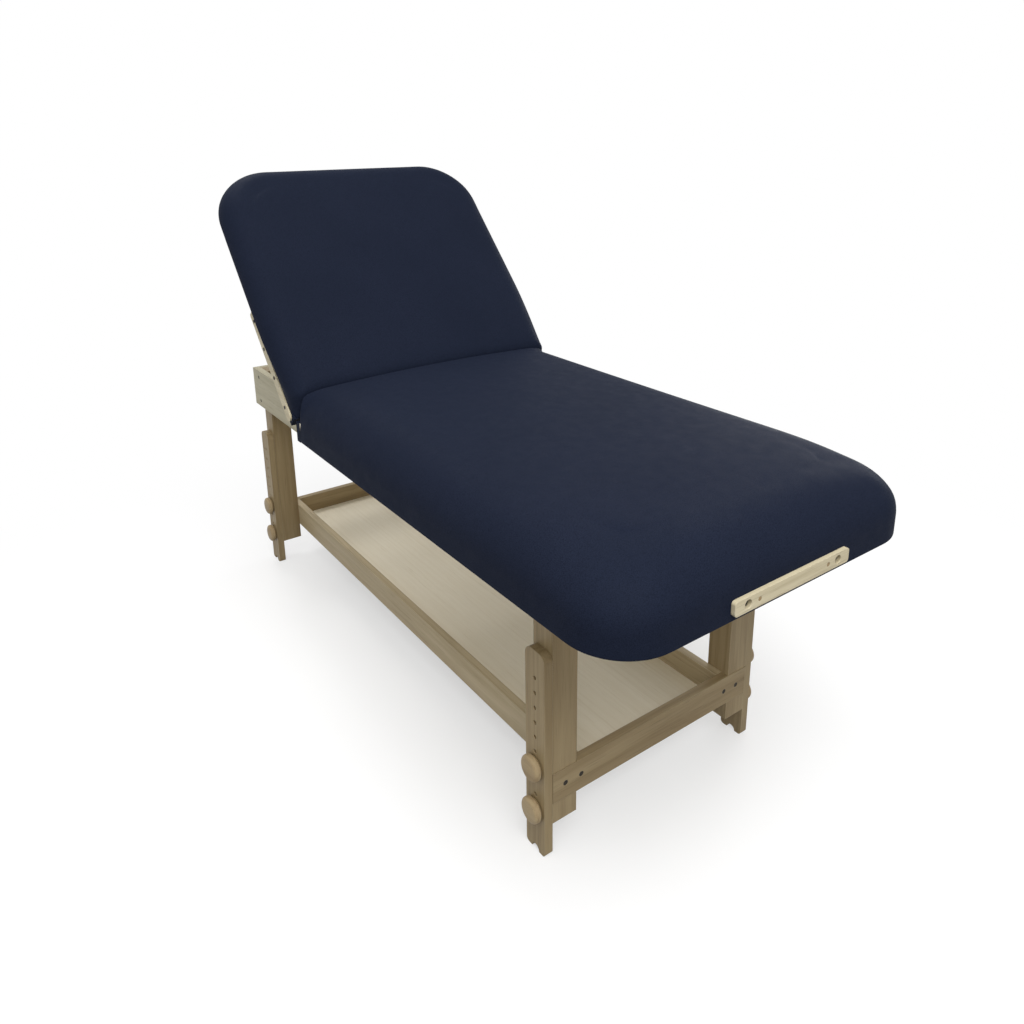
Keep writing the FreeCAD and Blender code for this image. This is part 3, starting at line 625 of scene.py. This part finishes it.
    def filled(self, ring):
        """The grid of points inside a ring, level with it."""
        at = dict(zip(self.loop(), ring))
        grid = dict(at)
        for i in range(1, self.count_s):
            for j in range(1, self.count_y):
                u, v = i / self.count_s, j / self.count_y
                near, far = at[0, j], at[self.count_s, j]
                left, right = at[i, 0], at[i, self.count_y]
                corners = (at[0, 0], at[self.count_s, 0], at[0, self.count_y], at[self.count_s, self.count_y])
                weights = ((1 - u) * (1 - v), u * (1 - v), (1 - u) * v, u * v)
                point = [(1 - u) * near[k] + u * far[k] + (1 - v) * left[k] + v * right[k]
                         - sum(w * c[k] for w, c in zip(weights, corners)) for k in range(2)]
                grid[i, j] = (point[0], point[1], ring[0][2])
        return grid

    def mesh(self, name):
        """A new object with the closed mesh, lying flat."""
        rings = self.rings()
        loop = self.loop()
        points = [point for ring in rings for point in ring]
        faces = []
        count = len(loop)
        for row in range(len(rings) - 1):
            for k in range(count):
                a, b = row * count + k, row * count + (k + 1) % count
                faces.append((a, b, b + count, a + count))
        for ring_index, is_top in ((0, False), (len(rings) - 1, True)):
            ring = rings[ring_index]
            grid = self.filled(ring)
            numbers = {key: ring_index * count + k for k, key in enumerate(loop)}
            for key, (s, y, z) in grid.items():
                if key not in numbers:
                    numbers[key] = len(points)
                    points.append((s, y, self.crowned(s, y, top_height) if is_top else z))
            for i in range(self.count_s):
                for j in range(self.count_y):
                    quad = (numbers[i, j], numbers[i, j + 1], numbers[i + 1, j + 1], numbers[i + 1, j])
                    faces.append(quad if is_top else quad[::-1])
        mesh = bpy.data.meshes.new(name)
        placed = [(hinge.x + self.side * s, y, z) for s, y, z in points]
        mesh.from_pydata(placed, [], faces if self.side < 0 else [face[::-1] for face in faces])
        mesh.update()
        made = bpy.data.objects.new(name, mesh)
        bpy.context.scene.collection.objects.link(made)
        return made


def evened(mesh, ways):
    """Ways of a mesh's points, each averaged with its neighbours' a number of times."""
    around = [[vertex.index] for vertex in mesh.vertices]
    for edge in mesh.edges:
        first, second = edge.vertices
        around[first].append(second)
        around[second].append(first)
    for _ in range(ease_passes):
        ways = [sum((ways[other] for other in near), Vector()) / len(near) for near in around]
    return ways


def evaluated(cushion):
    """A cushion as its modifiers leave it."""
    return cushion.evaluated_get(bpy.context.evaluated_depsgraph_get())


def settle(cushion, hinge_face_end):
    """Lets the padding swell against its cover, with the wrapped edge and the hinge end held."""
    rest = [vertex.co.copy() for vertex in cushion.data.vertices]
    held = cushion.vertex_groups.new(name="held")
    shares = []
    for index, point in enumerate(rest):
        over_deck = point.z - deck_top - held_height
        from_hinge = abs(point.x - hinge.x) - hinge_face_end
        shares.append(1 - smooth(min(over_deck, from_hinge) / held_fade))
        held.add([index], shares[index], "REPLACE")
    cloth = cushion.modifiers.new("padding", "CLOTH")
    for key, value in cover_cloth.items():
        setattr(cloth.settings, key, value)
    cloth.settings.vertex_group_mass = "held"
    cloth.settings.effector_weights.gravity = 0
    cloth.collision_settings.use_collision = False
    for number in range(1, sim_frames + 1):
        bpy.context.scene.frame_set(number)
    swollen = evaluated(cushion).to_mesh()
    moved = [vertex.co.copy() for vertex in swollen.vertices]
    cushion.modifiers.remove(cloth)
    cushion.vertex_groups.remove(held)
    bpy.context.scene.frame_set(1)
    ways = evened(cushion.data, [end - start for start, end in zip(rest, moved)])
    for vertex, start, way, share in zip(cushion.data.vertices, rest, ways, shares):
        vertex.co = start + way * (1 - share) * sim_cap / (sim_cap + way.length)


def apply_modifiers(cushion):
    """Gives a cushion the mesh that its modifiers make."""
    cushion.data = bpy.data.meshes.new_from_object(evaluated(cushion))
    cushion.modifiers.clear()


def smoothed(cushion):
    """One subdivision, applied."""
    modifier = cushion.modifiers.new("smooth", "SUBSURF")
    modifier.levels = 1
    apply_modifiers(cushion)
    for face in cushion.data.polygons:
        face.use_smooth = True


def cut_outlets(cushion):
    """Opens the vinyl behind the two holes of the outlet bar."""
    for mount in frame["record"]["mounts"]:
        if mount["kind"] != "bore":
            continue
        place = (outlet_low.x, mount["pos_m"][1], mount["pos_m"][2])
        radius = mount["dims"]["r_mm"] / 1000
        bpy.ops.mesh.primitive_cylinder_add(vertices=outlet_sides, radius=radius, depth=outlet_cut,
                                            location=place, rotation=(0, math.pi / 2, 0))
        cutter = bpy.context.object
        modifier = cushion.modifiers.new("outlet", "BOOLEAN")
        modifier.object = cutter
        modifier.operation = "DIFFERENCE"
        modifier.solver = "EXACT"
        apply_modifiers(cushion)
        bpy.data.objects.remove(cutter)


def finish_cushion(cushion, vinyl):
    """Vinyl for a cushion."""
    cushion.data.materials.clear()
    cushion.data.materials.append(vinyl)


def make_tabs(name, vinyl, side, low_s, low_z):
    """The two ends of the wrapped edge at the hinge, where vinyl closes over the edge frame's corners."""
    edge = half_width - frame_clearance
    inner = half_width - tab_width
    high_s = low_s + tab_width
    thin = wrap_gap / 2
    end_plate = ((low_s, low_s + wrap_gap), (inner, edge), (low_z, deck_top))
    side_plate = ((low_s, high_s), (edge - thin, edge), (low_z, deck_top))
    top_plate = ((low_s, high_s), (inner, edge), (deck_top, deck_top + thin))
    box_faces = ((0, 1, 3, 2), (4, 6, 7, 5), (0, 4, 5, 1), (2, 3, 7, 6), (0, 2, 6, 4), (1, 5, 7, 3))
    points = []
    faces = []
    for across, plate in itertools.product((-1, 1), (end_plate, side_plate, top_plate)):
        first = len(points)
        for s, y, z in itertools.product(*plate):
            points.append((hinge.x + side * s, across * y, z))
        for face in box_faces:
            faces.append([first + corner for corner in (face if side * across > 0 else face[::-1])])
    mesh = bpy.data.meshes.new(name)
    mesh.from_pydata(points, [], faces)
    mesh.materials.append(vinyl)
    tabs = bpy.data.objects.new(name, mesh)
    bpy.context.scene.collection.objects.link(tabs)
    return tabs


def folded(fold, end, level):
    """The (s, z) points of a fold that starts at the end of a deck, measured from a level."""
    return [(end + on, level + up) for on, up in fold]


def make_main_cushion(vinyl):
    """The fixed cushion, with the hinge end that the backrest folds against."""
    inside = (main_start + wrap_gap, deck_top + frame_clearance)
    foot = [inside] + folded(main_fold, main_start, deck_bottom) + [(main_start, deck_top)]
    frame_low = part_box("main_edge_frame")[0]
    pad = Pad(1, main_high.x - hinge.x, main_start, main_lean, foot, main_form, main_low.z, frame_low.z)
    cushion = pad.mesh("main_cushion")
    settle(cushion, main_start + foam_thickness * math.tan(main_lean))
    smoothed(cushion)
    cut_outlets(cushion)
    finish_cushion(cushion, vinyl)
    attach(cushion, "base")
    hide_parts("main_cover", "main_foam")
    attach(make_tabs("main_hem_tabs", vinyl, 1, main_start - wrap_gap, main_low.z), "base")


def make_backrest_cushion(vinyl):
    """The backrest's cushion, raised; its hinge end rests against the fixed one."""
    cover_low = flat_box("backrest_cover")[0]
    frame_low, frame_high = flat_box("backrest_edge_frame")
    lean = rest_angle - main_lean
    face_s = -main_start * math.cos(rest_angle) + crease_gap / math.cos(lean)
    face_z = hinge.z + main_start * math.sin(rest_angle)
    foot = (folded(backrest_inside, backrest_end, deck_top)
            + folded(backrest_fold, backrest_end, deck_bottom)
            + folded(backrest_heel, backrest_end, deck_top)
            + folded(face_start, face_s, face_z))
    pad = Pad(-1, hinge.x - cover_low.x, backrest_end, lean, foot, backrest_form, cover_low.z, frame_low.z)
    cushion = pad.mesh("backrest_cushion")
    settle(cushion, foam_thickness * math.tan(lean))
    cushion.data.transform(flat_turn().inverted())
    smoothed(cushion)
    finish_cushion(cushion, vinyl)
    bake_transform(cushion)
    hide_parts("backrest_cover", "backrest_foam")
    tabs = make_tabs("backrest_hem_tabs", vinyl, -1, hinge.x - frame_high.x - wrap_gap, cover_low.z)
    tabs.data.transform(flat_turn().inverted())
    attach(tabs, "backrest")


# Floor and light

def make_floor():
    """A plain white floor that keeps the shadow and runs out into the white of the background."""
    shader = Shader("white_floor")
    seen = shader.seen()
    shader.set(Base_Color=shader.mix(seen, floor_bounce, floor_white), Roughness=0.9, Specular_IOR_Level=0.0)
    far = shader.node("ShaderNodeVectorMath", operation="LENGTH")
    shader.link(shader.place(), far.inputs[0])
    share = shader.ramp(far.outputs["Value"], (floor_near, floor_far), onto=(near_share, 1.0))
    glow = shader.node("ShaderNodeEmission", Color=white, Strength=1.0)
    shader.show(shader.add(share, seen, "MULTIPLY"), shader.surface.outputs[0], glow.outputs[0],
                "Material Output")
    bpy.ops.mesh.primitive_circle_add(vertices=floor_sides, radius=floor_radius, fill_type="NGON")
    floor = bpy.context.object
    floor.name = "floor"
    floor.data.materials.append(shader.material)


def make_world():
    """Even studio light from all sides, and white where nothing stands."""
    world = bpy.data.worlds.new("studio")
    world.use_nodes = True
    sky = Tree(world.node_tree)
    light = sky.tree.nodes["Background"]
    light.inputs["Color"].default_value = white
    light.inputs["Strength"].default_value = world_light
    backdrop = sky.node("ShaderNodeBackground", Color=white, Strength=1.0)
    sky.show(sky.seen(), light.outputs[0], backdrop.outputs[0], "World Output")
    bpy.context.scene.world = world


def make_lamp(name, place, target, size, power):
    """A square softbox that faces a target."""
    data = bpy.data.lights.new(name, "AREA")
    data.shape = "SQUARE"
    data.size = size
    data.energy = power
    lamp = bpy.data.objects.new(name, data)
    lamp.location = place
    lamp.rotation_mode = "QUATERNION"
    lamp.rotation_quaternion = (Vector(target) - Vector(place)).to_track_quat("-Z", "Y")
    bpy.context.scene.collection.objects.link(lamp)


def build():
    """The whole scene."""
    bpy.context.scene.view_settings.view_transform = "Standard"
    make_camera()
    make_floor()
    make_world()
    for name, lamp in lamps.items():
        make_lamp(name, *lamp)
    paint_frame()
    vinyl = make_vinyl()
    make_main_cushion(vinyl)
    make_backrest_cushion(vinyl)


build()
